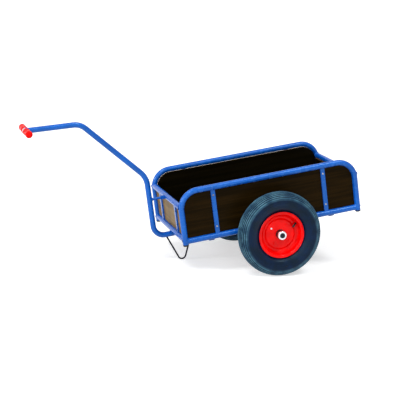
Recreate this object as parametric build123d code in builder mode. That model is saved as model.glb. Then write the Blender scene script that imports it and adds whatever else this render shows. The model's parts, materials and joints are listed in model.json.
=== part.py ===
"""Two-wheeled hand cart with a tube frame, board box, cranked drawbar and V stand.

Every piece is drawn on the level cart: +X to the handle, +Y to the left, +Z up,
with the origin in the middle of the axle. The finished pieces are then set down
as the cart parks, nose low, on its two tyres and the bend of the V stand.
All lengths are in millimetres.
"""
import math
import os

from build123d import *

os.makedirs("parts", exist_ok=True)

# Tube, plate and rod stock
tube_r = 13.45
tube_wall = 2.0
weld_gap = 0.3

# Side frames
post_spacing = 865.0
side_spacing = 506.0
rail_rise = 234.0
frame_bend_r = 85.0
post_below_rail = 14.0
plug_head = 8.0
plug_spigot = 14.0
plug_fit = 0.1

# Tubes across the ends of the box
cross_bar_rise = 164.0
bottom_bar_rise = 6.0
cope_trim = 2.0

# Upright flat bars that carry the boards
bar_width = 20.0
bar_thick = 8.0
side_bar_spacing = 546.0
end_bar_spacing = 270.0

# Boards
board_thick = 9.0
board_gap = 0.4
floor_gap = 1.0
floor_thick = 12.0
floor_above_rail = 2.25

# Square cross-members under the floor
member_size = 25.0
member_wall = 2.0
member_spacing = 602.0

# Axle and set collars
axle_r = 12.5
axle_past_collar = 2.0
running_fit = 0.05
collar_r = 20.0
collar_width = 16.0
side_play = 0.5

# Wheels
tyre_clearance = 19.55
wheel_r = 200.0
hub_r = 20.0
hub_length = 60.0
rim_sheet = 3.0
rim_seat_r = 100.0
rim_well_depth = 15.0
rim_flange_height = 12.0
rim_half_width = 32.5
well_y = 15.0
seat_taper = 2.0
valley_width = 13.0
centre_slope = 6.0
centre_rise = 8.0
tyre_width = 98.0
tread_width = 56.0
shoulder_drop = 29.0
tyre_seat_gap = 0.5
valve_r = 4.0
valve_length = 34.0
valve_angle = 156.0

# Drawbar, seen from the side: tail, upright, slope and handle run
upright_x = 520.0
slope_start_z = 302.0
slope_end_x = 797.0
slope_end_z = 611.0
handle_x = 1052.0
handle_z = 624.5
tail_bend_r = 53.0
knee_bend_r = 100.0
neck_bend_r = 78.0

# Stay between the drawbar and the front cross bar
stay_r = 6.0
gusset_length = 22.0
gusset_height = 20.0
gusset_tip = 12.0
gusset_thick = 5.0

# V stand of bent rod under the drawbar
rod_r = 4.0
stand_x = 398.0
stand_half_spread = 62.0
stand_depth = 153.5
stand_bend_r = 19.0

# T handle
handle_tube_length = 212.0
grip_r = 17.0
grip_length = 86.0
grip_end = 3.0
grip_fit = 0.1

# Places that follow from the sizes above
half_length = post_spacing / 2
half_width = side_spacing / 2
rail_z = axle_r + weld_gap + tube_r
top_z = rail_z + rail_rise
post_end_z = rail_z - post_below_rail
cross_z = rail_z + cross_bar_rise
bottom_bar_z = rail_z + bottom_bar_rise
floor_z = rail_z + floor_above_rail
end_inner_x = half_length - bar_thick / 2 - board_thick
side_inner_y = half_width - bar_thick / 2 - board_thick
between_posts_y = half_width - tube_r - weld_gap
track = side_spacing + 2 * (tube_r + tyre_clearance) + tyre_width
hub_end = track / 2 + hub_length / 2
drawbar_z = bottom_bar_z - 2 * tube_r - weld_gap
drawbar_under_z = drawbar_z - tube_r
inner_tube_r = tube_r - tube_wall

# Parked stance: the floor touches both the tyres and the outside of the stand's bend
stand_half_angle = math.atan2(stand_half_spread, stand_depth)
stand_bend_z = drawbar_under_z - stand_depth + stand_bend_r / math.sin(stand_half_angle)
foot_reach = math.hypot(stand_x, stand_bend_z)
foot_rise = wheel_r - stand_bend_r - rod_r
pitch = math.asin(foot_rise / foot_reach) - math.atan2(-stand_bend_z, stand_x)
front_x = handle_x * math.cos(pitch) + handle_z * math.sin(pitch) + grip_r
rear_x = (post_end_z - plug_head) * math.sin(pitch) - (half_length + tube_r) * math.cos(pitch)
parked = Location((-(front_x + rear_x) / 2, 0, wheel_r), (0, math.degrees(pitch), 0))

sides = (("left", 1), ("right", -1))
ends = (("front", 1), ("rear", -1))


def keep(part, label):
    """Set a level piece down as the cart parks and write it."""
    placed = part.moved(parked)
    placed.label = label
    export_step(placed, f"parts/{label}.step")


# Side frames: one inverted U of tube a side, plugged at the four post ends.
# The copes are the same tubes, solid and larger by the weld gap: they cut what butts on them.
copes = []
for side, sy in sides:
    y = sy * half_width
    with BuildPart() as side_tube:
        with BuildLine(Plane.XZ.offset(-y)) as loop:
            FilletPolyline(
                (-half_length, post_end_z),
                (-half_length, top_z),
                (half_length, top_z),
                (half_length, post_end_z),
                radius=frame_bend_r,
            )
        with BuildSketch(Plane(loop.line @ 0, z_dir=loop.line % 0)):
            Circle(tube_r)
            Circle(inner_tube_r, mode=Mode.SUBTRACT)
        sweep()
    keep(side_tube.part, f"side_tube_{side}")

    with BuildPart() as cope:
        with BuildSketch(Plane(loop.line @ 0, z_dir=loop.line % 0)):
            Circle(tube_r + weld_gap)
        sweep(path=loop.line)
    copes.append(cope.part)

    with BuildPart() as bottom_rail:
        with BuildSketch(Plane.YZ):
            with Locations((y, rail_z)):
                Circle(tube_r)
                Circle(inner_tube_r, mode=Mode.SUBTRACT)
        extrude(amount=half_length, both=True)
        add(cope.part, mode=Mode.SUBTRACT)
    keep(bottom_rail.part, f"bottom_rail_{side}")

    with BuildPart() as rail_cope:
        with BuildSketch(Plane.YZ):
            with Locations((y, rail_z)):
                Circle(tube_r + weld_gap)
        extrude(amount=half_length, both=True)
    copes.append(rail_cope.part)

    for end, sx in ends:
        with BuildPart() as plug:
            with BuildSketch(Plane((sx * half_length, y, post_end_z - plug_head))):
                Circle(tube_r)
            extrude(amount=plug_head)
            chamfer(plug.edges().sort_by(Axis.Z)[0], plug_head / 3)
            with BuildSketch(Plane((sx * half_length, y, post_end_z))):
                Circle(inner_tube_r - plug_fit)
            extrude(amount=plug_spigot)
        keep(plug.part, f"post_plug_{end}_{side}")

# Ends of the box: one tube across the posts above and one below, a little above the rails
for end, sx in ends:
    for name, z in (("cross_bar", cross_z), ("bottom_bar", bottom_bar_z)):
        with BuildPart() as end_tube:
            with BuildSketch(Plane.XZ):
                with Locations((sx * half_length, z)):
                    Circle(tube_r)
                    Circle(inner_tube_r, mode=Mode.SUBTRACT)
            extrude(amount=half_width - cope_trim, both=True)
            add(copes, mode=Mode.SUBTRACT)
        keep(end_tube.part, f"{name}_{end}")

# Upright flat bars: two in each side frame, two across each end
bar_columns = ("name", "x", "y", "foot", "head", "along_x")
side_foot = rail_z + tube_r + weld_gap
side_head = top_z - tube_r - weld_gap
end_foot = bottom_bar_z + tube_r + weld_gap
end_head = cross_z - tube_r - weld_gap
upright_bars = [
    (f"side_bar_{end}_{side}", sx * side_bar_spacing / 2, sy * half_width, side_foot, side_head, True)
    for side, sy in sides
    for end, sx in ends
] + [
    (f"end_bar_{end}_{side}", sx * half_length, sy * end_bar_spacing / 2, end_foot, end_head, False)
    for side, sy in sides
    for end, sx in ends
]
for row in upright_bars:
    bar = dict(zip(bar_columns, row))
    with BuildPart() as upright:
        with BuildSketch(Plane((bar["x"], bar["y"], bar["foot"]))):
            if bar["along_x"]:
                Rectangle(bar_width, bar_thick)
            else:
                Rectangle(bar_thick, bar_width)
        extrude(amount=bar["head"] - bar["foot"])
    keep(upright.part, bar["name"])

# Side boards stand inside the tube frame, with corners that follow its bends.
# Their outer faces are off the tubes' middle, so their edges tuck in under the round.
board_inset = math.sqrt((tube_r + board_gap) ** 2 - (bar_thick / 2) ** 2)
side_board_length = post_spacing - 2 * board_inset
side_board_foot = rail_z + board_inset
side_board_head = top_z - board_inset
for side, sy in sides:
    with BuildPart() as side_board:
        with BuildSketch(Plane.XZ.offset(-sy * side_inner_y)):
            with Locations((0, side_board_foot)):
                Rectangle(
                    side_board_length,
                    side_board_head - side_board_foot,
                    align=(Align.CENTER, Align.MIN),
                )
        extrude(amount=-sy * board_thick)
        top_corners = side_board.edges().filter_by(Axis.Y).group_by(Axis.Z)[-1]
        fillet(top_corners, frame_bend_r - board_inset)
    keep(side_board.part, f"side_board_{side}")

# End boards stand between the end tubes, behind the upright bars
end_board_width = side_spacing - 2 * board_inset
end_board_foot = bottom_bar_z + board_inset
end_board_head = cross_z - board_inset
for end, sx in ends:
    with BuildPart() as end_board:
        with BuildSketch(Plane.YZ.offset(sx * end_inner_x)):
            with Locations((0, end_board_foot)):
                Rectangle(
                    end_board_width,
                    end_board_head - end_board_foot,
                    align=(Align.CENTER, Align.MIN),
                )
        extrude(amount=sx * board_thick)
    keep(end_board.part, f"end_board_{end}")

# Floor board on the cross-members, inside the ring of bottom tubes
with BuildPart() as floor_board:
    with BuildSketch(Plane.XY.offset(floor_z)):
        Rectangle(
            post_spacing - 2 * (tube_r + floor_gap),
            side_spacing - 2 * (tube_r + floor_gap),
        )
    extrude(amount=floor_thick)
keep(floor_board.part, "floor_board")

for end, sx in ends:
    with BuildPart() as member:
        with BuildSketch(Plane.XZ):
            with Locations((sx * member_spacing / 2, floor_z - member_size / 2)):
                Rectangle(member_size, member_size)
                Rectangle(
                    member_size - 2 * member_wall,
                    member_size - 2 * member_wall,
                    mode=Mode.SUBTRACT,
                )
        extrude(amount=between_posts_y, both=True)
    keep(member.part, f"cross_member_{end}")

# Drawbar: one tube bent three times, from the front cross-member up to the T handle
tail_x = member_spacing / 2 + member_size / 2 + weld_gap
with BuildPart() as drawbar:
    with BuildLine(Plane.XZ) as route:
        FilletPolyline(
            (tail_x, drawbar_z),
            (upright_x, drawbar_z),
            (upright_x, slope_start_z),
            (slope_end_x, slope_end_z),
            (handle_x, handle_z),
            radius=(tail_bend_r, knee_bend_r, neck_bend_r),
        )
    with BuildSketch(Plane(route.line @ 0, z_dir=route.line % 0)):
        Circle(tube_r)
        Circle(inner_tube_r, mode=Mode.SUBTRACT)
    sweep()
    with Locations((handle_x, 0, handle_z)):
        Cylinder(tube_r + weld_gap, 4 * tube_r, rotation=(90, 0, 0), mode=Mode.SUBTRACT)
keep(drawbar.part, "drawbar")

# Stay: a gusset on the front cross bar and a short rod to the drawbar's upright
gusset_x = half_length + tube_r + weld_gap
with BuildPart() as gusset:
    with BuildSketch(Plane.XZ):
        with BuildLine():
            Polyline(
                (gusset_x, cross_z - gusset_height / 2),
                (gusset_x, cross_z + gusset_height / 2),
                (gusset_x + gusset_length, cross_z + gusset_tip / 2),
                (gusset_x + gusset_length, cross_z - gusset_tip / 2),
                close=True,
            )
        make_face()
    extrude(amount=gusset_thick / 2, both=True)
keep(gusset.part, "stay_gusset")

stay_start = gusset_x + gusset_length
with BuildPart() as stay:
    with BuildSketch(Plane.YZ.offset(stay_start)):
        with Locations((0, cross_z)):
            Circle(stay_r)
    extrude(amount=upright_x - tube_r - weld_gap - stay_start)
keep(stay.part, "drawbar_stay")

# V stand: a rod bent once, its two ends under the drawbar
stand_top_z = drawbar_under_z - weld_gap
with BuildPart() as stand:
    with BuildLine(Plane.XZ) as vee:
        FilletPolyline(
            (stand_x + stand_half_spread, drawbar_under_z),
            (stand_x, drawbar_under_z - stand_depth),
            (stand_x - stand_half_spread, drawbar_under_z),
            radius=stand_bend_r,
        )
    with BuildSketch(Plane(vee.line @ 0, z_dir=vee.line % 0)):
        Circle(rod_r)
    sweep()
    split(bisect_by=Plane.XY.offset(stand_top_z), keep=Keep.BOTTOM)
keep(stand.part, "v_stand")

# T handle: a cross tube on the drawbar's end with a moulded grip on each half
with BuildPart() as handle_tube:
    with BuildSketch(Plane.XZ):
        with Locations((handle_x, handle_z)):
            Circle(tube_r)
            Circle(inner_tube_r, mode=Mode.SUBTRACT)
    extrude(amount=handle_tube_length / 2, both=True)
keep(handle_tube.part, "handle_tube")

for side, sy in sides:
    grip_outer = handle_tube_length / 2 + grip_fit + grip_end
    with BuildPart() as grip:
        with BuildSketch(Plane.XZ.offset(-sy * grip_outer)):
            with Locations((handle_x, handle_z)):
                Circle(grip_r)
        extrude(amount=sy * grip_length)
        rim_edges = grip.edges().filter_by(GeomType.CIRCLE)
        chamfer(rim_edges, grip_end / 2)
        with BuildSketch(Plane.XZ.offset(-sy * (grip_outer - grip_end))):
            with Locations((handle_x, handle_z)):
                Circle(tube_r + grip_fit)
        extrude(amount=sy * grip_length, mode=Mode.SUBTRACT)
    keep(grip.part, f"grip_{side}")

# Axle across both bottom rails, with a set collar on each side of both hubs
axle_half = hub_end + side_play + collar_width + axle_past_collar
with BuildPart() as axle:
    with BuildSketch(Plane.XZ):
        Circle(axle_r)
    extrude(amount=axle_half, both=True)
    chamfer(axle.edges().filter_by(GeomType.CIRCLE), axle_past_collar / 2)
keep(axle.part, "axle")

for side, sy in sides:
    inner_y = track / 2 - hub_length / 2 - side_play - collar_width
    for place, y in (("outer", hub_end + side_play), ("inner", inner_y)):
        with BuildPart() as collar:
            with BuildSketch(Plane.XZ.offset(-sy * y)):
                Circle(collar_r)
                Circle(axle_r + running_fit, mode=Mode.SUBTRACT)
            extrude(amount=-sy * collar_width)
        keep(collar.part, f"set_collar_{place}_{side}")

# Wheels: tyre, two pressed rim halves back to back, hub and valve
rim_disc_r = rim_seat_r - rim_well_depth
rim_flange_r = rim_seat_r + rim_flange_height
seat_y = rim_half_width - rim_sheet
bead_r = rim_seat_r + tyre_seat_gap
bead_y = seat_y - tyre_seat_gap
flange_clear_r = rim_flange_r + tyre_seat_gap
seat_start_r = rim_seat_r - seat_taper
centre_foot_r = rim_disc_r - valley_width
centre_top_r = centre_foot_r - centre_slope
valve_turn = math.radians(valve_angle)
for side, sy in sides:
    wheel_y = sy * track / 2
    wheel_plane = Plane((0, wheel_y, 0))

    with BuildPart() as tyre:
        with BuildSketch(wheel_plane):
            with BuildLine():
                Polyline(
                    (bead_r, 0),
                    (bead_r, bead_y),
                    (flange_clear_r, bead_y),
                    (flange_clear_r, tyre_width / 2),
                    (wheel_r - shoulder_drop, tyre_width / 2),
                    (wheel_r, tread_width / 2),
                    (wheel_r, 0),
                )
                mirror(about=Plane.XZ)
            make_face()
        revolve(axis=Axis.Y)
    keep(tyre.part, f"tyre_{side}")

    # The valve leaves the middle of the outer half's well wall, square to that wall
    outward = Vector(math.cos(valve_turn), 0, math.sin(valve_turn))
    valve_root = outward * ((rim_disc_r + seat_start_r) / 2) + Vector(0, wheel_y + sy * well_y / 2, 0)
    valve_aim = Vector(0, sy * (seat_start_r - rim_disc_r), 0) - outward * well_y
    valve_plane = Plane(valve_root, z_dir=valve_aim)

    # Each half is one sheet: raised centre, valley, well wall, bead seat and flange
    for place, face in (("outer", sy), ("inner", -sy)):
        with BuildPart() as rim:
            with BuildSketch(wheel_plane):
                with BuildLine():
                    Polyline(
                        (hub_r + weld_gap, face * centre_rise),
                        (centre_top_r, face * centre_rise),
                        (centre_foot_r, 0),
                        (rim_disc_r, 0),
                        (seat_start_r, face * well_y),
                        (rim_seat_r, face * seat_y),
                        (rim_flange_r, face * seat_y),
                    )
                    offset(amount=rim_sheet, side=Side.LEFT if face > 0 else Side.RIGHT)
                make_face()
            revolve(axis=Axis.Y)
            if place == "outer":
                with BuildSketch(valve_plane):
                    Circle(valve_r + running_fit)
                extrude(amount=2 * rim_sheet, both=True, mode=Mode.SUBTRACT)
        keep(rim.part, f"rim_{place}_{side}")

    with BuildPart() as hub:
        with BuildSketch(Plane.XZ.offset(-wheel_y)):
            Circle(hub_r)
            Circle(axle_r + running_fit, mode=Mode.SUBTRACT)
        extrude(amount=hub_length / 2, both=True)
    keep(hub.part, f"hub_{side}")

    with BuildPart() as valve:
        with BuildSketch(valve_plane):
            Circle(valve_r)
        extrude(amount=valve_length)
    keep(valve.part, f"valve_{side}")
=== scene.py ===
# %% [markdown]
# # A two-wheeled hand cart
# This lesson dresses a finished cart frame: blue tubes, board box, pneumatic wheels,
# cranked drawbar and a V stand. The solids already have their real sizes and places.
# Each step says what a piece is on the real cart, how it could be made in Blender,
# and why this way was picked.

# %% Load the frame
import json
import math

import bmesh
import bpy
from mathutils import Matrix, Quaternion, Vector


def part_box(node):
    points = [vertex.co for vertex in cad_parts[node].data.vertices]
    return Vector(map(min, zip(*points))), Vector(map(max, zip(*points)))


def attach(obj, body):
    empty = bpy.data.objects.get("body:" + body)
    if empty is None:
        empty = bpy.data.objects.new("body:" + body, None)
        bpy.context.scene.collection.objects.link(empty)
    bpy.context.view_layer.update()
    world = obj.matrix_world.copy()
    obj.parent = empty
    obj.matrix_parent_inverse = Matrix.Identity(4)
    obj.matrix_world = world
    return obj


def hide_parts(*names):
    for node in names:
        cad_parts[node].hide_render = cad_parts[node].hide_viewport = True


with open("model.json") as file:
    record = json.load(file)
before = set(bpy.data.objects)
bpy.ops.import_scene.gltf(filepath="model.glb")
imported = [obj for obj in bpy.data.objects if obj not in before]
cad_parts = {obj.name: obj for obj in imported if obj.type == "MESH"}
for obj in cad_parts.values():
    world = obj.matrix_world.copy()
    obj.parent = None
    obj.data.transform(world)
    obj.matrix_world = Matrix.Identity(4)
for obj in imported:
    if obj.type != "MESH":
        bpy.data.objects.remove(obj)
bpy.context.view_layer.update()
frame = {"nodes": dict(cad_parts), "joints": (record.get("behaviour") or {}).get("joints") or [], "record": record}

scene = bpy.context.scene
nodes = frame["nodes"]

# %% [markdown]
# The cart parks nose low, on its tyres and its stand, so nothing on it is level.
# Every new piece is therefore made on a level cart, with the axle at the origin, and
# is then set down by one matrix. The record gives both parts of that matrix: the
# wheel joint is on the axle, and the load floor's axis leans by the parking angle.

# %% Find the parking angle
record = frame["record"]
mounts = {mount["name"]: mount for mount in record["mounts"]}
floor_axis = Vector(mounts["load_floor"]["axis"])
pitch = math.atan2(floor_axis.x, floor_axis.z)
axle_place = Vector(frame["joints"][0]["pos_m"])
axle_place.y = 0.0
parked = Matrix.Translation(axle_place) @ Matrix.Rotation(pitch, 4, "Y")
level = parked.inverted()
wheel_r = axle_place.z
tube_r = mounts["drawbar_run"]["dims"]["r_mm"] / 1000
print("parking angle in degrees:", round(math.degrees(pitch), 2), "wheel radius:", wheel_r)


def size_of(node):
    """Return the box size of a solid as it is parked."""
    low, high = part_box(node)
    return high - low


def level_box(node):
    """Return the low and the high corner of a solid on the level cart."""
    places = [level @ vert.co for vert in nodes[node].data.vertices]
    low = Vector([min(place[axis] for place in places) for axis in range(3)])
    high = Vector([max(place[axis] for place in places) for axis in range(3)])
    return low, high


def level_centre(node):
    """Return the middle of a solid on the level cart."""
    low, high = level_box(node)
    return (low + high) / 2


# %% [markdown]
# ## Camera
# The photograph was taken with a long lens from the left, a little in front of the
# axle and above the box. A long lens keeps the rails nearly parallel. The camera also
# leaned a little, so a small roll about its own axis follows the aim.

# %% Camera
image_size = 400
focal_pixels = 1320.0
camera_place = Vector((1.712, 5.977, 1.644))
camera_aim = Vector((-0.2789, -0.9369, -0.2118))
camera_roll = math.radians(2.3)

lens = bpy.data.cameras.new("studio_camera")
lens.sensor_width = 36.0
lens.lens = lens.sensor_width * focal_pixels / image_size
camera = bpy.data.objects.new("studio_camera", lens)
camera.location = camera_place
aim = camera_aim.to_track_quat("-Z", "Y") @ Quaternion((0, 0, 1), camera_roll)
camera.rotation_euler = aim.to_euler()
scene.collection.objects.link(camera)
scene.camera = camera
scene.view_settings.view_transform = "Standard"
print("lens in millimetres:", round(lens.lens, 1))

# %% [markdown]
# ## Helpers for finishes
# A finish is a small tree of nodes. One helper starts a Principled shader, and one adds
# a node and fills its sockets: a plain value is set, and another node's output is linked.


# %% Node helpers
def srgb(red, green, blue):
    """Return a linear colour from the usual 0 to 255 values."""
    def linear(value):
        share = value / 255
        return share / 12.92 if share <= 0.04045 else ((share + 0.055) / 1.055) ** 2.4
    return (linear(red), linear(green), linear(blue), 1.0)


def new_finish(name, roughness, metallic=0.0):
    """Start a finish and return it with its shader."""
    finish = bpy.data.materials.new(name)
    finish.use_nodes = True
    shader = finish.node_tree.nodes["Principled BSDF"]
    shader.inputs["Roughness"].default_value = roughness
    shader.inputs["Metallic"].default_value = metallic
    return finish, shader


def fill(finish, node, sockets):
    """Set or link the sockets of a node."""
    for key, value in sockets.items():
        if isinstance(value, bpy.types.NodeSocket):
            finish.node_tree.links.new(value, node.inputs[key])
        else:
            node.inputs[key].default_value = value


def add(finish, kind, sockets, **settings):
    """Add a node with its settings and sockets."""
    node = finish.node_tree.nodes.new(kind)
    for key, value in settings.items():
        setattr(node, key, value)
    fill(finish, node, sockets)
    return node


def cart_coords(finish, stretch=(1, 1, 1)):
    """Return coordinates in metres along the level cart, stretched for grain."""
    place = add(finish, "ShaderNodeTexCoord", {}).outputs["Object"]
    flat = add(
        finish, "ShaderNodeMapping",
        {"Vector": place, "Location": axle_place, "Rotation": (0, pitch, 0)},
        vector_type="TEXTURE",
    )
    if tuple(stretch) == (1, 1, 1):
        return flat.outputs["Vector"]
    grain = add(finish, "ShaderNodeMapping", {"Vector": flat.outputs["Vector"], "Scale": stretch})
    return grain.outputs["Vector"]


def noise(finish, coords, scale, detail=3.0, roughness=0.5):
    """Return the grey value of a noise pattern."""
    made = add(
        finish, "ShaderNodeTexNoise",
        {"Vector": coords, "Scale": scale, "Detail": detail, "Roughness": roughness},
    )
    return made.outputs["Fac"]


def spread(finish, value, low, high, start=0.35, end=0.65):
    """Stretch the middle of a pattern to the range from low to high."""
    made = add(
        finish, "ShaderNodeMapRange",
        {"Value": value, "From Min": start, "From Max": end, "To Min": low, "To Max": high},
        interpolation_type="SMOOTHSTEP",
    )
    return made.outputs["Result"]


def blend(finish, share, first, second):
    """Mix two colours by a pattern."""
    made = add(finish, "ShaderNodeMix", {}, data_type="RGBA")
    fill(finish, made, {"Factor": share})
    for index, value in ((6, first), (7, second)):
        if isinstance(value, bpy.types.NodeSocket):
            finish.node_tree.links.new(value, made.inputs[index])
        else:
            made.inputs[index].default_value = value
    return made.outputs[2]


def bumps(finish, shader, height, strength, distance):
    """Press a grey pattern into the surface."""
    made = add(
        finish, "ShaderNodeBump",
        {"Height": height, "Strength": strength, "Distance": distance},
    )
    fill(finish, shader, {"Normal": made.outputs["Normal"]})


def dress(finish, *names):
    """Give a finish to solids whose names start with these words."""
    dressed = [name for name in nodes if name.startswith(names)]
    for name in dressed:
        nodes[name].data.materials[0] = finish
    print(finish.name, "on", len(dressed), "solids")


# %% [markdown]
# ## Floor and light
# A product photograph stands on a white sweep under large soft lamps. The floor is one
# wide disc with a pale finish. A little light of its own, seen by the camera and in
# reflections only, lifts it to white, and the shadow of the cart stays.

# %% Floor
floor_reach = 60.0
floor_colour = (0.76, 0.76, 0.76, 1.0)
floor_lift = 0.55

floor_finish, floor_shader = new_finish("pale_floor", 0.9)
floor_shader.inputs["Base Color"].default_value = floor_colour
floor_shader.inputs["Specular IOR Level"].default_value = 0.0
floor_shader.inputs["Emission Color"].default_value = (1, 1, 1, 1)
floor_path = add(floor_finish, "ShaderNodeLightPath", {})


def seen(finish, path, strength):
    """Return the strength for camera, glossy and transmission rays, and 0 for the rest."""
    first = add(
        finish, "ShaderNodeMath",
        {0: path.outputs["Is Camera Ray"], 1: path.outputs["Is Glossy Ray"]}, operation="MAXIMUM",
    )
    both = add(
        finish, "ShaderNodeMath",
        {0: first.outputs[0], 1: path.outputs["Is Transmission Ray"]}, operation="MAXIMUM",
    )
    scaled = add(
        finish, "ShaderNodeMath", {0: both.outputs[0], 1: strength}, operation="MULTIPLY",
    )
    return scaled.outputs[0]


fill(floor_finish, floor_shader, {"Emission Strength": seen(floor_finish, floor_path, floor_lift)})
floor_bm = bmesh.new()
bmesh.ops.create_circle(floor_bm, cap_ends=True, segments=96, radius=floor_reach)
floor_mesh = bpy.data.meshes.new("floor")
floor_bm.to_mesh(floor_mesh)
floor_bm.free()
floor_mesh.materials.append(floor_finish)
floor = bpy.data.objects.new("floor", floor_mesh)
scene.collection.objects.link(floor)
print("floor reaches", floor_reach, "metres")

# %% [markdown]
# The key lamp hangs above the cart, a little to the front, so the shadow stays under the
# box, and a top lamp behind it draws a line of light along the rails. A lower lamp in
# front of the drawbar brightens the faces that look forward, and a weaker one fills the
# side towards the camera. All are wide, as studio lamps are.
# The sky gives even light, and it is white where it is seen or mirrored.

# %% Lamps and sky
lamp_columns = ("name", "towards_lamp", "strength", "width_deg")
lamp_rows = (
    ("key_lamp", (0.45, 0.30, 0.90), 1.1, 20.0),
    ("top_lamp", (-0.26, 0.42, 0.87), 1.3, 20.0),
    ("front_lamp", (0.92, 0.15, 0.36), 1.4, 20.0),
    ("fill_lamp", (0.42, 0.85, 0.28), 0.9, 44.0),
)
for row in lamp_rows:
    lamp_row = dict(zip(lamp_columns, row))
    lamp = bpy.data.lights.new(lamp_row["name"], "SUN")
    lamp.energy = lamp_row["strength"]
    lamp.angle = math.radians(lamp_row["width_deg"])
    lamp_object = bpy.data.objects.new(lamp_row["name"], lamp)
    lamp_object.rotation_euler = Vector(lamp_row["towards_lamp"]).to_track_quat("Z", "Y").to_euler()
    scene.collection.objects.link(lamp_object)

sky_light = 0.28
sky = bpy.data.worlds.new("studio_sky")
sky.use_nodes = True
scene.world = sky
sky_back = sky.node_tree.nodes["Background"]
sky_back.inputs["Color"].default_value = (1, 1, 1, 1)
sky_path = add(sky, "ShaderNodeLightPath", {})
sky_rise = add(
    sky, "ShaderNodeMath", {0: seen(sky, sky_path, 1.0 - sky_light), 1: sky_light}, operation="ADD",
)
sky.node_tree.links.new(sky_rise.outputs[0], sky_back.inputs["Strength"])
print("lamps:", len(lamp_rows), "sky:", sky_light)

# %% [markdown]
# ## Blue powder coat
# The frame is welded tube, blasted and powder coated. Powder melts into a glossy skin
# with a fine ripple like orange peel, and the colour is not quite even where it ran
# thick or thin. Two noises give the ripple and the cloudy colour.

# %% Blue powder coat
blue_thin = srgb(0, 76, 168)
blue_thick = srgb(4, 88, 186)


def powder_coat(name, ripple_scale, ripple_strength):
    """Make the blue coat with a ripple of a given fineness and strength."""
    finish, shader = new_finish(name, 0.3)
    place = cart_coords(finish)
    cloud = noise(finish, place, 9.0)
    fill(finish, shader, {
        "Base Color": blend(finish, spread(finish, cloud, 0.0, 1.0), blue_thin, blue_thick),
        "Roughness": spread(finish, noise(finish, place, 35.0), 0.23, 0.29),
        "Specular IOR Level": 0.6,
        "Specular Tint": (0.46, 0.76, 0.92, 1.0),
    })
    bumps(finish, shader, noise(finish, place, ripple_scale, detail=2.0), ripple_strength, 0.0006)
    return finish


blue_coat = powder_coat("blue_powder_coat", 700.0, 0.05)
weld_coat = powder_coat("blue_weld_coat", 330.0, 0.7)
dress(
    blue_coat, "side_tube", "bottom_", "cross_", "side_bar", "end_bar", "drawbar",
    "stay_gusset",
)

# %% [markdown]
# ## Dark stand
# The V stand is thin rod in a dark coat. It scuffs on the ground, so its low end is
# rougher and a little paler. The height above the floor drives that wear.

# %% Dark stand paint
stand_clean = srgb(16, 20, 34)
stand_scuffed = srgb(62, 64, 70)
scuff_height = 0.03

stand_coat, stand_shader = new_finish("dark_stand_paint", 0.4)
stand_place = add(stand_coat, "ShaderNodeTexCoord", {}).outputs["Object"]
stand_height = add(stand_coat, "ShaderNodeSeparateXYZ", {"Vector": stand_place}).outputs["Z"]
stand_grit = noise(stand_coat, stand_place, 260.0, detail=5.0)
stand_wear = add(
    stand_coat, "ShaderNodeMath",
    {
        0: spread(stand_coat, stand_height, 1.0, 0.0, start=0.0, end=scuff_height),
        1: spread(stand_coat, stand_grit, 0.0, 1.0, start=0.45, end=0.6),
    },
    operation="MULTIPLY",
)
fill(stand_coat, stand_shader, {
    "Base Color": blend(stand_coat, stand_wear.outputs[0], stand_clean, stand_scuffed),
    "Roughness": spread(stand_coat, stand_grit, 0.35, 0.55),
    "Specular IOR Level": 0.12,
})
bumps(stand_coat, stand_shader, stand_grit, 0.1, 0.0004)
dress(stand_coat, "v_stand")

# %% [markdown]
# ## Film-faced plywood
# The box is closed with plywood under a resin film, brown outside. Inside, the faces are
# painted nearly black: painted shade within the box. The film is smooth, with the grain of
# the veneer faintly pressed through it. The end boards are tan outside: partly bare veneer,
# partly a painted sheen for the front lamp's light. The sawn edges show the plies, light and
# dark in turn. The direction a face looks tells these apart, so one finish serves a whole
# board.


# %% Plywood finish
# Inner faces: painted shade, near black inside the box.
inner_painted_shade_dark = srgb(7, 5, 1)
inner_painted_shade_light = srgb(15, 11, 3)
film_dark = srgb(20, 12, 1)
film_light = srgb(34, 22, 4)
ply_pale = srgb(112, 84, 52)
ply_brown = srgb(70, 48, 26)
# Tan outer face of the end boards: partly bare veneer, partly a painted sheen of the front lamp.
raw_sheen_pale = srgb(138, 112, 68)
raw_sheen_brown = srgb(108, 84, 46)
ply_thickness = 0.0013


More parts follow.
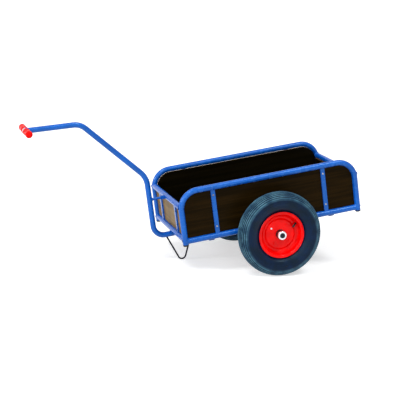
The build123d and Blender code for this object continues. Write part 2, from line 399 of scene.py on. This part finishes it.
def film_plywood(name, across, outer, raw_and_sheen=False):
    """Make a plywood finish for a board that is thin along one level axis (0, 1 or 2).

    The outer face looks along the plus (1) or minus (-1) side of that axis.
    """
    finish, shader = new_finish(name, 0.35)
    stretch = [60.0, 60.0, 60.0]
    stretch[1 if across == 0 else 0] = 3.0
    flat = cart_coords(finish)
    grain = noise(finish, cart_coords(finish, stretch), 1.0, detail=6.0, roughness=0.6)
    speck = noise(finish, flat, 420.0, detail=4.0)
    # The inner faces take the painted shade colours.
    inner = blend(finish, spread(finish, grain, 0.0, 1.0), inner_painted_shade_dark, inner_painted_shade_light)
    if raw_and_sheen:
        veneer = spread(finish, grain, 0.0, 1.0, start=0.3, end=0.7)
        outer_look = blend(finish, veneer, raw_sheen_brown, raw_sheen_pale)
    else:
        outer_look = blend(finish, spread(finish, grain, 0.0, 1.0), film_dark, film_light)

    looks = add(finish, "ShaderNodeTexCoord", {}).outputs["Normal"]
    level_looks = add(
        finish, "ShaderNodeVectorRotate", {"Vector": looks, "Angle": -pitch},
        rotation_type="Y_AXIS",
    )
    ways = add(finish, "ShaderNodeSeparateXYZ", {"Vector": level_looks.outputs[0]})
    places = add(finish, "ShaderNodeSeparateXYZ", {"Vector": flat})
    way = ways.outputs[across]
    outward = add(finish, "ShaderNodeMath", {0: way, 1: float(outer)}, operation="MULTIPLY")
    faces = blend(
        finish, spread(finish, outward.outputs[0], 0.0, 1.0, start=0.4, end=0.6), inner, outer_look,
    )
    turns = add(
        finish, "ShaderNodeMath",
        {0: places.outputs[across], 1: math.pi / ply_thickness}, operation="MULTIPLY",
    )
    wave = add(finish, "ShaderNodeMath", {0: turns.outputs[0]}, operation="SINE")
    layers = blend(
        finish, spread(finish, wave.outputs[0], 0.0, 1.0, start=-0.4, end=0.4), ply_brown, ply_pale,
    )
    straight = add(finish, "ShaderNodeMath", {0: way}, operation="ABSOLUTE")
    face_share = spread(finish, straight.outputs[0], 0.0, 1.0, start=0.5, end=0.7)
    fill(finish, shader, {
        "Base Color": blend(finish, face_share, layers, faces),
        "Roughness": spread(finish, speck, 0.3, 0.45),
        "Specular IOR Level": 0.03,
    })
    bumps(finish, shader, grain, 0.08, 0.0006)
    return finish


dress(film_plywood("left_film_plywood", 1, 1), "side_board_left")
dress(film_plywood("right_film_plywood", 1, -1), "side_board_right")
dress(film_plywood("floor_film_plywood", 2, -1), "floor_board")
dress(film_plywood("front_film_plywood", 0, 1, raw_and_sheen=True), "end_board_front")
dress(film_plywood("rear_film_plywood", 0, -1, raw_and_sheen=True), "end_board_rear")

# %% [markdown]
# ## Bright zinc and dark steel
# The T handle's tube and the set collars are zinc plated: bright, a little cloudy, with
# fine draw lines round the tube. The board screws have dulled to grey, and the axle is
# plain drawn bar that has darkened.

# %% Zinc
zinc_bright = srgb(236, 238, 240)
zinc_cloudy = srgb(196, 202, 208)

dull_bright = srgb(168, 170, 176)
dull_cloudy = srgb(112, 114, 122)


def zinc_plate(name, cloudy, bright):
    """Make a zinc finish between two greys."""
    finish, shader = new_finish(name, 0.25, metallic=1.0)
    cloud = noise(finish, cart_coords(finish), 60.0)
    lines = noise(finish, cart_coords(finish, (30.0, 900.0, 30.0)), 1.0, detail=2.0)
    fill(finish, shader, {
        "Base Color": blend(finish, spread(finish, cloud, 0.0, 1.0), cloudy, bright),
        "Roughness": spread(finish, lines, 0.18, 0.36),
    })
    bumps(finish, shader, lines, 0.05, 0.0002)
    return finish


zinc = zinc_plate("bright_zinc", zinc_cloudy, zinc_bright)
dull_zinc = zinc_plate("dull_zinc", dull_cloudy, dull_bright)
dress(zinc, "handle_tube", "set_collar")

# %% Axle steel
steel_dark = srgb(8, 13, 18)
steel_worn = srgb(30, 38, 44)
steel, steel_shader = new_finish("dark_axle_steel", 0.4, metallic=0.8)
steel_place = cart_coords(steel)
steel_cloud = noise(steel, steel_place, 45.0, detail=5.0)
fill(steel, steel_shader, {
    "Base Color": blend(steel, spread(steel, steel_cloud, 0.0, 1.0), steel_dark, steel_worn),
    "Roughness": spread(steel, steel_cloud, 0.3, 0.5),
})
steel_lines = noise(steel, cart_coords(steel, (700.0, 20.0, 700.0)), 1.0)
bumps(steel, steel_shader, steel_lines, 0.06, 0.0003)
dress(steel, "axle")

# %% [markdown]
# ## Red enamel, rubber and black plastic
# The rims are pressed sheet in glossy red enamel. The tyres are dark blue grey rubber. The
# ribs are paler than the sidewall: partly dust from the ground, partly a painted sheen for
# the light the ribs catch. The grooves are darker: partly dirt, partly painted shade in the
# recess. Two measures tell them apart: the distance from the axle, and how far a point lies
# out on the oval of the tyre's crown. Post plugs and hubs are black.

# %% Red enamel
red_deep = srgb(224, 2, 2)
red_bright = srgb(250, 6, 5)
red_enamel, red_shader = new_finish("red_rim_enamel", 0.25)
red_place = cart_coords(red_enamel)
fill(red_enamel, red_shader, {
    "Base Color": blend(
        red_enamel, spread(red_enamel, noise(red_enamel, red_place, 14.0), 0.0, 1.0),
        red_deep, red_bright,
    ),
    "Roughness": spread(red_enamel, noise(red_enamel, red_place, 60.0), 0.12, 0.18),
    "Specular IOR Level": 0.14,
})
bumps(red_enamel, red_shader, noise(red_enamel, red_place, 500.0, detail=2.0), 0.1, 0.0005)

# %% Grip plastic
grip_deep = srgb(232, 8, 6)
grip_bright = srgb(252, 18, 14)
grip_red, grip_shader = new_finish("red_grip_plastic", 0.38)
grip_place = cart_coords(grip_red)
grip_grain = noise(grip_red, grip_place, 900.0, detail=3.0)
fill(grip_red, grip_shader, {
    "Base Color": blend(
        grip_red, spread(grip_red, noise(grip_red, grip_place, 30.0), 0.0, 1.0),
        grip_deep, grip_bright,
    ),
    "Roughness": spread(grip_red, grip_grain, 0.32, 0.5),
    "Specular IOR Level": 0.08,
})
bumps(grip_red, grip_shader, grip_grain, 0.12, 0.0004)

# %% Tyre rubber
wall_dark = srgb(0, 6, 26)
wall_light = srgb(2, 18, 50)
# Rib colours: partly dust, partly a painted sheen. Groove colour: partly dirt, partly painted shade.
rib_dust_sheen_dark = srgb(30, 62, 88)
rib_dust_sheen_light = srgb(76, 118, 138)
groove_dirt_and_shade = srgb(0, 6, 18)
groove_level = 0.960
rib_level = 0.986
wall_end_r = 0.164
tread_start_r = 0.180
widest_r = 0.157
crown_power = 2.35
tyre_half = size_of("tyre_left").y / 2
track_half = abs(frame["joints"][0]["pos_m"][1])
rubber, rubber_shader = new_finish("tyre_rubber", 0.5)
rubber_place = cart_coords(rubber)
rubber_cloud = noise(rubber, rubber_place, 18.0, detail=6.0, roughness=0.6)
rubber_grain = noise(rubber, rubber_place, 800.0, detail=3.0)
rubber_flat = add(
    rubber, "ShaderNodeVectorMath", {0: rubber_place, 1: (1, 0, 1)}, operation="MULTIPLY",
)
rubber_r = add(
    rubber, "ShaderNodeVectorMath", {0: rubber_flat.outputs["Vector"]}, operation="LENGTH",
).outputs["Value"]
rubber_y = add(rubber, "ShaderNodeSeparateXYZ", {"Vector": rubber_place}).outputs["Y"]
rubber_off = add(rubber, "ShaderNodeMath", {0: rubber_y}, operation="ABSOLUTE").outputs[0]


def crown_share(value, start, end):
    """Return how far a value has gone from start to end, raised to the crown's power."""
    share = add(
        rubber, "ShaderNodeMapRange", {"Value": value, "From Min": start, "From Max": end},
        clamp=False,
    ).outputs["Result"]
    size = add(rubber, "ShaderNodeMath", {0: share}, operation="ABSOLUTE").outputs[0]
    return add(rubber, "ShaderNodeMath", {0: size, 1: crown_power}, operation="POWER").outputs[0]


rubber_sum = add(rubber, "ShaderNodeMath", {
    0: crown_share(rubber_off, track_half, track_half + tyre_half),
    1: crown_share(rubber_r, widest_r, wheel_r),
}, operation="ADD").outputs[0]
rubber_rise = add(
    rubber, "ShaderNodeMath", {0: rubber_sum, 1: 1 / crown_power}, operation="POWER",
).outputs[0]
rubber_mix = spread(rubber, rubber_cloud, 0.0, 1.0)
# Painted shade with dirt in the grooves, painted sheen with dust on the ribs.
tread_dust_shade_sheen = blend(
    rubber, spread(rubber, rubber_rise, 0.0, 1.0, start=groove_level, end=rib_level),
    groove_dirt_and_shade, blend(rubber, rubber_mix, rib_dust_sheen_dark, rib_dust_sheen_light),
)
rubber_wall = blend(rubber, rubber_mix, wall_dark, wall_light)
rubber_share = spread(rubber, rubber_r, 0.0, 1.0, start=wall_end_r, end=tread_start_r)
fill(rubber, rubber_shader, {
    "Base Color": blend(rubber, rubber_share, rubber_wall, tread_dust_shade_sheen),
    "Roughness": spread(rubber, rubber_cloud, 0.36, 0.46),
    "Specular IOR Level": 0.24,
    "Specular Tint": (0.5, 0.82, 1.0, 1.0),
})
bumps(rubber, rubber_shader, rubber_grain, 0.15, 0.0004)


# %% Black finishes
black_deep = srgb(12, 12, 14)
black_worn = srgb(26, 27, 30)


def black_finish(name, roughness):
    """Make a black moulded finish with a fine grain."""
    finish, shader = new_finish(name, roughness)
    place = cart_coords(finish)
    grain = noise(finish, place, 600.0, detail=4.0)
    cloud = noise(finish, place, 40.0)
    fill(finish, shader, {
        "Base Color": blend(finish, spread(finish, cloud, 0.0, 1.0), black_deep, black_worn),
        "Roughness": spread(finish, grain, roughness - 0.08, roughness + 0.08),
        "Specular IOR Level": 0.25,
    })
    bumps(finish, shader, grain, 0.1, 0.0004)
    return finish


plug_black = black_finish("black_plug_plastic", 0.5)
hub_black = black_finish("black_hub_paint", 0.35)
valve_black = black_finish("black_valve_rubber", 0.55)
dress(plug_black, "post_plug")
dress(hub_black, "hub")
dress(valve_black, "valve")
dress(grip_red, "grip")
dress(red_enamel, "rim")
dress(rubber, "tyre")

# %% [markdown]
# ## Turned pieces
# A wheel is round about its axle, and so are grips, collars and valves. Such a piece is
# a half section spun once round an axis. The spin closes on its first ring when it
# merges, so no seam is left. The section is drawn upright beside the Z axis, and one
# matrix then lays the piece where it belongs.


# %% Helpers for turned pieces
def turned(section, steps, closed=False):
    """Spin a section of (radius, height) points once round the Z axis."""
    bm = bmesh.new()
    corners = [bm.verts.new((radius, 0.0, height)) for radius, height in section]
    ends = corners[1:] + corners[:1] if closed else corners[1:]
    sides = [bm.edges.new(pair) for pair in zip(corners, ends)]
    bmesh.ops.spin(
        bm, geom=corners + sides, cent=(0, 0, 0), axis=(0, 0, 1),
        angle=math.tau, steps=steps, use_merge=True,
    )
    bmesh.ops.remove_doubles(bm, verts=bm.verts, dist=1e-6)
    bmesh.ops.recalc_face_normals(bm, faces=bm.faces)
    return bm


def round_edges(bm, width, segments, above_deg):
    """Bevel every edge that is sharper than an angle."""
    sharp = [
        edge for edge in bm.edges
        if edge.is_manifold and edge.calc_face_angle() > math.radians(above_deg)
    ]
    bmesh.ops.bevel(
        bm, geom=sharp, offset=width, offset_type="OFFSET", segments=segments,
        profile=0.5, affect="EDGES", clamp_overlap=True, material=-1,
    )


def piece(name, bm, place, body, slot, finish, keen_deg=32):
    """Set a bmesh in place as a finished piece that rides on a body."""
    bmesh.ops.transform(bm, matrix=place, verts=bm.verts)
    for face in bm.faces:
        face.smooth = True
    for edge in bm.edges:
        if edge.is_manifold:
            edge.smooth = edge.calc_face_angle() < math.radians(keen_deg)
    mesh = bpy.data.meshes.new(name)
    bm.to_mesh(mesh)
    bm.free()
    mesh.materials.append(finish)
    made = bpy.data.objects.new(name, mesh)
    scene.collection.objects.link(made)
    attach(made, body)
    print(name, "faces:", len(mesh.polygons))
    return made


def facing(origin, direction):
    """Return the matrix that lays a piece's Z axis along a level direction."""
    turn = Vector(direction).to_track_quat("Z", "Y").to_matrix().to_4x4()
    return parked @ Matrix.Translation(origin) @ turn


sides = (("left", 1), ("right", -1))

# %% [markdown]
# ## Tyres
# A cart tyre has a round crown with ribs running all the way round, down over the
# shoulders, and a smooth sidewall with a few fine rings from the mould. The crown is half
# a full oval, an ellipse with a power a little over two, walked by its angle: at each
# groove the walk steps towards the middle of the oval and back, less on the shoulders,
# where a mould draws off more easily from a shallow groove. Each rib is a little round,
# so it catches a line of light.

# %% Tyre section
flange_r = size_of("rim_outer_left").z / 2
bead_y = 0.0285
groove_count = 13
groove_pitch = 0.200
groove_width = 0.108
groove_share = 0.065
rib_round = 0.016
wall_power = 2.3
wall_reach = 1.13
wall_gap = 0.0006
bead_depth = 0.010
bead_taper = 0.001
ring_height = 0.0009
ring_width = 0.0015
ring_radii = (0.1205, 0.1260, 0.1440, 0.1490)


def crown_point(turn, sunk=0.0):
    """Return (radius, y) on the crown at an angle from its top, sunk by a share."""
    across, up = math.sin(turn), math.cos(turn)
    reach = (abs(across) ** crown_power + abs(up) ** crown_power) ** (-1 / crown_power)
    y = tyre_half * across * reach * (1 - sunk)
    radius = widest_r + (wheel_r - widest_r) * up * reach * (1 - sunk)
    return radius, y


def wall_y(radius):
    """Return the half width of the sidewall at a radius below the widest place."""
    drop = (widest_r - radius) / ((widest_r - flange_r) * wall_reach)
    return (tyre_half - ring_height) * max(1 - drop ** wall_power, 0.0) ** (1 / wall_power)


def tyre_section():
    """Return the closed section of the tyre, from one bead over the crown to the other."""
    half = [(flange_r - bead_depth, bead_y - bead_taper), (flange_r, bead_y)]
    wall_steps = 40
    for step in range(1, wall_steps):
        radius = flange_r + wall_gap + (widest_r - flange_r - wall_gap) * step / wall_steps
        raised = any(abs(radius - ring) < ring_width for ring in ring_radii)
        half.append((radius, wall_y(radius) + (ring_height if raised else 0.0)))
    last_rib = groove_pitch * groove_count / 2
    shoulder_steps = 6
    for step in range(shoulder_steps):
        turn = math.pi / 2 + (last_rib - math.pi / 2) * step / shoulder_steps
        half.append(crown_point(turn))
    crown = []
    rib_quarter = (groove_pitch + groove_width) / 4
    for index in range(groove_count):
        middle = groove_pitch * ((groove_count - 1) / 2 - index)
        sunk = groove_share * math.cos(middle)
        crown += [
            crown_point(middle + groove_pitch / 2),
            crown_point(middle + rib_quarter, rib_round / 4),
            crown_point(middle + groove_width / 2, rib_round),
            crown_point(middle + groove_width / 3, sunk),
            crown_point(middle - groove_width / 3, sunk),
            crown_point(middle - groove_width / 2, rib_round),
            crown_point(middle - rib_quarter, rib_round / 4),
        ]
    crown.append(crown_point(-last_rib))
    back = [(radius, -y) for radius, y in reversed(half)]
    return half + crown + back


print("points in the tyre's section:", len(tyre_section()))

# %% Spin the tyres
tyre_steps = 144
for side, sy in sides:
    tyre = piece(
        f"ribbed_tyre_{side}", turned(tyre_section(), tyre_steps, closed=True),
        facing((0, sy * track_half, 0), (0, sy, 0)), f"wheel_{side}", "tyre", rubber, keen_deg=40,
    )
    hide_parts(f"tyre_{side}")

# %% [markdown]
# ## Pressed rims
# Each wheel has two halves of pressed sheet, bolted back to back: a raised centre, a
# valley, a sloping well wall, the bead seat and a flange with a rolled lip. A press
# leaves round corners, so the mid line of the sheet is spun first, its sharp rings are
# bevelled, and the wall is then made by solidify, which keeps one thickness round every
# bend.

# %% Rims
rim_sheet = 0.003
rim_bend_r = 0.0030
rim_bend_steps = 4
rim_bend_deg = 12
hub_r = size_of("hub_left").z / 2
centre_face = 0.0095
valley_face = rim_sheet / 2
rim_section = (
    (hub_r + 0.0003, centre_face),
    (0.0668, centre_face),
    (0.0728, valley_face),
    (0.0843, valley_face),
    (0.0966, 0.0156),
    (0.0987, 0.0305),
    (0.1085, 0.0310),
    (flange_r - rim_sheet / 2, 0.0345),
)
rim_steps = 120
for side, sy in sides:
    for place, face in (("outer", sy), ("inner", -sy)):
        rim_bm = turned(rim_section, rim_steps)
        round_edges(rim_bm, rim_bend_r, rim_bend_steps, rim_bend_deg)
        bmesh.ops.recalc_face_normals(rim_bm, faces=rim_bm.faces)
        bmesh.ops.solidify(rim_bm, geom=rim_bm.faces, thickness=rim_sheet)
        rim = piece(
            f"pressed_rim_{place}_{side}", rim_bm,
            facing((0, sy * track_half, 0), (0, face, 0)), f"wheel_{side}", "rim_red", red_enamel,
        )
        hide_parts(f"rim_{place}_{side}")

# %% [markdown]
# ## Rim bolts
# Four bolts through the raised centres hold the two halves of a rim together. A hexagon
# is a circle with six corners, raised to the height of the head, and its edges are
# bevelled as a forged head's are. The nut on the inner half is the same shape, with the
# bolt's end through it. Three bolts are red like the rim and one is bright bare zinc,
# which shows as a single bright spot, so each wheel has two pieces of bolts.


# %% Rim bolts
bolt_circle_r = 0.0530
bolt_turns_deg = {"painted": (131, 221, 311), "bare": (41,)}
bolt_finishes = {"painted": ("rim_red", red_enamel), "bare": ("zinc", zinc)}
bolt_flats = 0.0080
bolt_seat = centre_face + rim_sheet / 2
bolt_head = 0.0040
bolt_end_r = 0.0026
bolt_tip_r = 0.0020
bolt_tip = 0.0006
bolt_end = 0.0075


def hexagon(flats, height):
    """Make a hexagon that stands on the ground plane of its own axes."""
    bm = bmesh.new()
    bmesh.ops.create_circle(bm, cap_ends=True, segments=6, radius=flats / math.sqrt(3))
    grown = bmesh.ops.extrude_face_region(bm, geom=bm.faces[:], use_keep_orig=True)
    top = [item for item in grown["geom"] if isinstance(item, bmesh.types.BMVert)]
    bmesh.ops.translate(bm, vec=(0, 0, height), verts=top)
    bmesh.ops.recalc_face_normals(bm, faces=bm.faces)
    round_edges(bm, 0.0005, 2, 40)
    return bm


def gather(into, bm, place):
    """Add a bmesh to another one, at its place."""
    bmesh.ops.transform(bm, matrix=place, verts=bm.verts)
    held = bpy.data.meshes.new("held")
    bm.to_mesh(held)
    bm.free()
    into.from_mesh(held)
    bpy.data.meshes.remove(held)


here = Matrix.Identity(4)
end_section = (
    (0, 0), (bolt_end_r, 0), (bolt_end_r, bolt_end - bolt_tip), (bolt_tip_r, bolt_end),
    (0, bolt_end),
)
for side, sy in sides:
    out = Vector((0, sy, 0))
    for kind, turns_deg in bolt_turns_deg.items():
        bolts_bm = bmesh.new()
        for turn in map(math.radians, turns_deg):
            middle = Vector((math.cos(turn), 0, math.sin(turn))) * bolt_circle_r + out * track_half
            gather(bolts_bm, hexagon(bolt_flats, bolt_head), facing(middle + bolt_seat * out, out))
            gather(bolts_bm, hexagon(bolt_flats, bolt_head), facing(middle - bolt_seat * out, -out))
            gather(bolts_bm, turned(end_section, 20), facing(middle - bolt_seat * out, -out))
        piece(f"{kind}_rim_bolts_{side}", bolts_bm, here, f"wheel_{side}", *bolt_finishes[kind])

# %% [markdown]
# ## Valves
# The valve is a rubber stem through the well wall of the outer half, square to that wall,
# with a black cap. Both are spun. The wall's two ends in the section give the middle of
# the wall and the direction square to it, which leans in towards the axle.

# %% Valves
valve_turn = math.radians(156)
well_foot = Vector((0.085, 0.0))
well_head = Vector((0.098, 0.015))
valve_foot = (well_foot + well_head) / 2
valve_lean = Vector((well_foot.y - well_head.y, well_head.x - well_foot.x)).normalized()
stem_section = (
    (0, 0), (0.0039, 0), (0.0039, 0.0031), (0.0060, 0.0033), (0.0058, 0.0046),
    (0.0042, 0.0090), (0.0036, 0.0180), (0.0036, 0.0195), (0, 0.0195),
)
cap_section = (
    (0, 0.0180), (0.0044, 0.0182), (0.0047, 0.0190), (0.0047, 0.0310), (0.0038, 0.0338),
    (0, 0.0340),
)
for side, sy in sides:
    out = Vector((math.cos(valve_turn), 0, math.sin(valve_turn)))
    across = Vector((0, sy, 0))
    foot = out * valve_foot.x + across * (track_half + valve_foot.y)
    lean = out * valve_lean.x + across * valve_lean.y
    stem = piece(
        f"valve_stem_{side}", turned(stem_section, 28), facing(foot, lean), f"wheel_{side}",
        "valve_rubber", valve_black,
    )
    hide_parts(f"valve_{side}")
    piece(
        f"valve_cap_{side}", turned(cap_section, 28), facing(foot, lean), f"wheel_{side}",
        "black_plastic", plug_black,
    )

# %% [markdown]
# ## Hubs, set collars and the axle
# The hub is a black sleeve, welded to both rim halves. A zinc collar on each side keeps
# it in place, with a socket set screw that bites on the axle. The axle has a small centre
# hole in each end, left from turning it. All are spun sections with small chamfers.

# %% Hubs and axle
axle_r = size_of("axle").z / 2
axle_half = size_of("axle").y / 2
bore_r = axle_r + 0.00005
hub_half = size_of("hub_left").y / 2
hub_weld_r = 0.0017
hub_weld_rise = 0.0012
small_chamfer = 0.0010
centre_hole = 0.0035
centre_hole_r = 0.0022
round_steps = 64


def sleeve(inner_r, outer_r, half, chamfer):
    """Return the closed section of a sleeve with chamfered outer corners."""
    return (
        (inner_r, -half), (outer_r - chamfer, -half), (outer_r, -half + chamfer),
        (outer_r, half - chamfer), (outer_r - chamfer, half), (inner_r, half),
    )


def bead_ring(ring_r, bead_r, steps):
    """Make a plain ring of weld round the Z axis."""
    corners = 10
    turns = [math.tau * corner / corners for corner in range(corners)]
    section = [(ring_r + bead_r * math.cos(turn), bead_r * math.sin(turn)) for turn in turns]
    return turned(section, steps, closed=True)


for side, sy in sides:
    wheel_middle = Vector((0, sy * track_half, 0))
    hub_section = sleeve(bore_r, hub_r, hub_half, small_chamfer)
    hub = piece(
        f"hub_sleeve_{side}", turned(hub_section, round_steps, closed=True),
        facing(wheel_middle, (0, sy, 0)), f"wheel_{side}", "black_plastic", hub_black,
    )
    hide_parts(f"hub_{side}")
    hub_welds_bm = bmesh.new()
    for face in (1, -1):
        weld_place = wheel_middle + Vector((0, face * (centre_face + rim_sheet / 2), 0))
        hub_weld = bead_ring(hub_r + hub_weld_rise, hub_weld_r, round_steps)
        gather(hub_welds_bm, hub_weld, facing(weld_place, (0, 1, 0)))
    piece(f"hub_welds_{side}", hub_welds_bm, here, f"wheel_{side}", "black_plastic", hub_black)

axle_section = (
    (0, -axle_half + centre_hole), (centre_hole_r, -axle_half),
    (axle_r - small_chamfer, -axle_half), (axle_r, -axle_half + small_chamfer),
    (axle_r, axle_half - small_chamfer), (axle_r - small_chamfer, axle_half),
    (centre_hole_r, axle_half), (0, axle_half - centre_hole),
)
axle = piece(
    "turned_axle", turned(axle_section, round_steps), facing((0, 0, 0), (0, 1, 0)),
    "cart", "zinc", steel,
)
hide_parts("axle")

# %% Set collars
collar_screw_turn = math.radians(52)
screw_section = (
    (0, -0.0020), (0.0018, -0.0018), (0.0020, 0.0004), (0.0034, 0.0004), (0.0037, 0),
    (0.0037, -0.0030), (0, -0.0030),
)
for side, sy in sides:
    for place in ("outer", "inner"):
        node = f"set_collar_{place}_{side}"
        collar_r = size_of(node).z / 2
        collar_half = size_of(node).y / 2
        collar_middle = level_centre(node)
        out = Vector((math.cos(collar_screw_turn), 0, math.sin(collar_screw_turn)))
        collar_bm = bmesh.new()
        ring_section = sleeve(bore_r, collar_r, collar_half, small_chamfer)
        collar_ring = turned(ring_section, round_steps, closed=True)
        gather(collar_bm, collar_ring, facing(collar_middle, (0, sy, 0)))
        gather(collar_bm, turned(screw_section, 24), facing(collar_middle + out * collar_r, out))
        collar = piece(f"zinc_collar_{place}_{side}", collar_bm, here, "cart", "zinc", zinc)
        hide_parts(node)

# %% [markdown]
# ## Grips
# The grips are soft moulded sleeves with a rounded closed end, a shallow waist and a
# small collar at the inner end. One spun section makes the outside and the blind bore
# that slides on the handle tube, so the sleeve has the wall of a real one.

# %% Grips
grip_r = size_of("grip_left").z / 2
grip_length = size_of("grip_left").y
grip_end = 0.003
grip_bore_r = tube_r + 0.0001
for side, sy in sides:
    middle = level_centre(f"grip_{side}")
    half = grip_length / 2
    grip_section = (
        (0.0, half - grip_end),
        (grip_bore_r, half - grip_end),
        (grip_bore_r, -half),
        (grip_r - 0.0006, -half),
        (grip_r, -half + 0.0012),
        (grip_r, -half + 0.0050),
        (grip_r - 0.0012, -half + 0.0068),
        (grip_r - 0.0012, half - 0.0130),
        (grip_r - 0.0002, half - 0.0080),
        (grip_r - 0.0004, half - 0.0045),
        (grip_r - 0.0035, half - 0.0008),
        (grip_r - 0.0070, half),
        (0.0, half),
    )
    grip_bm = turned(grip_section, round_steps)
    grip = piece(
        f"moulded_grip_{side}", grip_bm, facing(middle, (0, sy, 0)), "cart", "grip_red", grip_red,
        keen_deg=50,
    )
    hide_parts(f"grip_{side}")

# %% [markdown]
# ## Screws
# Two round-headed screws to a flat bar hold the boards from outside. A head is a low dome
# with a small socket, spun from a short section. The solids give the bars' places, so
# the screws follow the frame.

# %% Screws
side_bar = level_centre("side_bar_front_left")
end_bar = level_centre("end_bar_front_left")
bar_thick = size_of("side_bar_front_left").y
side_screw_heights = (0.072, 0.222)
end_screw_heights = (0.080, 0.148)
dome_section = (
    (0, 0), (0.0044, 0), (0.0046, 0.0005), (0.0040, 0.0017), (0.0023, 0.0024),
    (0.0015, 0.0023), (0.0013, 0.0010), (0, 0.0010),
)

screws_bm = bmesh.new()
for sy in (1, -1):
    for sx in (1, -1):
        for bar, out, heights in (
            (side_bar, Vector((0, sy, 0)), side_screw_heights),
            (end_bar, Vector((sx, 0, 0)), end_screw_heights),
        ):
            for height in heights:
                seat = Vector((sx * bar.x, sy * bar.y, height)) + out * bar_thick / 2
                gather(screws_bm, turned(dome_section, 24), facing(seat, out))
piece("board_screws", screws_bm, here, "cart", "zinc", dull_zinc)

# %% [markdown]
# ## Weld beads
# Where a tube butts on another tube, the weld follows a saddle. The bead starts as a plain
# ring round the butting tube, and every point of it is then lifted to the round surface
# that it lies on. Flat bars and square tubes get straight beads, made from short rods that
# are half sunk in the steel.


# %% Weld helpers
bead_r = 0.0019
bead_sink = 0.0006
bead_lift = 0.0012
bead_steps = 56


def saddle_bead(branch_r, host_r):
    """Make a weld for a tube along Z that butts on a tube along Y through the origin."""
    bm = bead_ring(branch_r + bead_sink, bead_r, bead_steps)
    reach = host_r + bead_lift
    for vert in bm.verts:
        vert.co.z += math.sqrt(max(reach ** 2 - vert.co.x ** 2, 0.0)) - bead_sink
    return bm


def butting(origin, along, host_axis):
    """Return the place of a saddle: Z along the butting tube, Y along its host."""
    z_way = Vector(along).normalized()
    y_way = Vector(host_axis).normalized()
    x_way = y_way.cross(z_way).normalized()
    turn = Matrix((x_way, z_way.cross(x_way), z_way)).transposed().to_4x4()
    return parked @ Matrix.Translation(origin) @ turn


def straight_bead(length):
    """Make a straight weld along Z, round at both ends."""
    bm = bmesh.new()
    bmesh.ops.create_cone(
        bm, cap_ends=True, segments=10, radius1=bead_r, radius2=bead_r, depth=length,
    )
    round_edges(bm, bead_r * 0.6, 2, 60)
    return bm


# %% Welds of the tube frame
rail = level_centre("bottom_rail_left")
cross_bar = level_centre("cross_bar_front")
bottom_bar = level_centre("bottom_bar_front")
up = Vector((0, 0, 1))

welds_bm = bmesh.new()
for sx in (1, -1):
    for sy in (1, -1):
        post = Vector((sx * cross_bar.x, sy * rail.y, 0))
        gather(welds_bm, saddle_bead(tube_r, tube_r), butting(post + up * rail.z, (-sx, 0, 0), up))
        for bar in (cross_bar, bottom_bar):
            seat = butting(post + up * bar.z, (0, -sy, 0), up)
            gather(welds_bm, saddle_bead(tube_r, tube_r), seat)
piece("frame_welds", welds_bm, here, "cart", "frame_blue", weld_coat)

# %% Welds of the flat bars and cross-members
member_bead_share = 0.8
bar_welds_bm = bmesh.new()
for name in nodes:
    if not name.startswith(("side_bar", "end_bar")):
        continue
    low, high = level_box(name)
    middle = (low + high) / 2
    thin = 1 if name.startswith("side_bar") else 0
    along = Vector((1, 0, 0)) if thin == 1 else Vector((0, 1, 0))
    bar_width = (high - low)[1 - thin]
    for height in (low.z, high.z):
        for place in (low[thin], high[thin]):
            spot = Vector((middle.x, middle.y, height))
            spot[thin] = place
            gather(bar_welds_bm, straight_bead(bar_width), facing(spot, along))
for end in ("front", "rear"):
    low, high = level_box(f"cross_member_{end}")
    for y in (low.y, high.y):
        for x in (low.x, high.x):
            spot = Vector((x, y, (low.z + high.z) / 2))
            member_bead = straight_bead((high.z - low.z) * member_bead_share)
            gather(bar_welds_bm, member_bead, facing(spot, up))
piece("bar_welds", bar_welds_bm, here, "cart", "frame_blue", weld_coat)

# %% Welds of the drawbar, stay, stand and axle
stay_low, stay_high = level_box("drawbar_stay")
gusset_low, gusset_high = level_box("stay_gusset")
tail_x = level_box("drawbar")[0].x
drawbar_z = level_box("v_stand")[1].z + tube_r
handle = level_centre("handle_tube")
stay_r = (stay_high.z - stay_low.z) / 2
handle_way = (-1, 0, -0.05)
gusset_bead = (gusset_high.z - gusset_low.z) * 0.85
stay_bead = stay_r * 1.7
axle_bead = 0.016
stand_bead = 0.018
bead_aside = 0.006

draw_welds_bm = bmesh.new()
upright = Vector((stay_high.x + tube_r, 0, cross_bar.z))
gather(draw_welds_bm, saddle_bead(stay_r, tube_r), butting(upright, (-1, 0, 0), up))
gather(draw_welds_bm, saddle_bead(tube_r, tube_r), butting(handle, handle_way, (0, 1, 0)))
tail_place = facing((tail_x, 0, drawbar_z), (1, 0, 0))
gather(draw_welds_bm, bead_ring(tube_r, bead_r, bead_steps), tail_place)
for y in (gusset_low.y, gusset_high.y):
    spot = Vector((gusset_low.x, y, cross_bar.z))
    gather(draw_welds_bm, straight_bead(gusset_bead), facing(spot, up))
    foot = Vector((gusset_high.x, y, cross_bar.z))
    gather(draw_welds_bm, straight_bead(stay_bead), facing(foot, up))
for sy in (1, -1):
    for x in (-bead_aside, bead_aside):
        spot = Vector((x, sy * rail.y, axle_r + bead_sink))
        gather(draw_welds_bm, straight_bead(axle_bead), facing(spot, (0, 1, 0)))
    spot = Vector((bottom_bar.x, sy * bead_aside, bottom_bar.z - tube_r - bead_sink))
    gather(draw_welds_bm, straight_bead(stand_bead), facing(spot, (1, 0, 0)))
piece("drawbar_welds", draw_welds_bm, here, "cart", "frame_blue", weld_coat)
